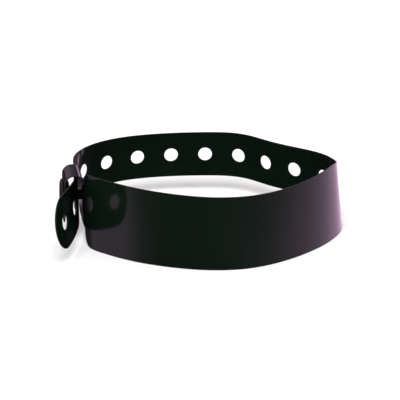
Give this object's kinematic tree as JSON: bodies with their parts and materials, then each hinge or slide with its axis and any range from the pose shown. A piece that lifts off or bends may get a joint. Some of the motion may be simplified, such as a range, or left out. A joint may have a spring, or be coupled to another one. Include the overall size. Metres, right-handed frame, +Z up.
{
  "type": "snap wristband",
  "caption": "Black vinyl identification wristband with a wide plain face, a punched strap and a side flap that folds over the strap and snaps onto a stud",
  "frame": {"origin": "under the middle of the closed loop, on the surface that the band stands on", "axes": "+X along the loop's width, with the closure at -X; the wide face looks towards -Y; +Z up, across the strap"},
  "size_m": [0.0763, 0.0656, 0.02],
  "materials": {
    "sheet": "glossy flexible vinyl sheet, black",
    "snap": "moulded plastic snap, black, semi-gloss"
  },
  "bodies": {
    "band": {"face_panel": "sheet", "closure_tab": "sheet", "perforated_strap": "sheet", "post_cap": "snap", "snap_stud": "snap"},
    "flap": {"fold_flap": "sheet", "socket_cap": "snap", "snap_socket": "snap"},
    "strap_end": {"strap_end": "sheet"},
    "strap_tip": {"strap_tip": "sheet"}
  },
  "joints": [
    {"name": "flap_fold", "type": "hinge", "parent": "band", "child": "flap", "pos_m": [-0.03201, -0.00285, 0.01581], "axis": [-0.1822, 0.9833, 0], "range_deg": [0, 110]},
    {"name": "strap_release", "type": "hinge", "parent": "band", "child": "strap_end", "pos_m": [-0.03701, 0.01036, 0.01078], "axis": [0, 0, -1], "range_deg": [0, 14]},
    {"name": "tail_flex", "type": "hinge", "parent": "strap_end", "child": "strap_tip", "pos_m": [-0.03331, -0.01794, 0.01039], "axis": [0, 0, -1], "range_deg": [-12, 25], "stiffness_Nm_per_rad": 0.002}
  ],
  "couplings": [
    {"joint": "strap_release", "follows": "flap_fold", "ratio": 0.12}
  ]
}
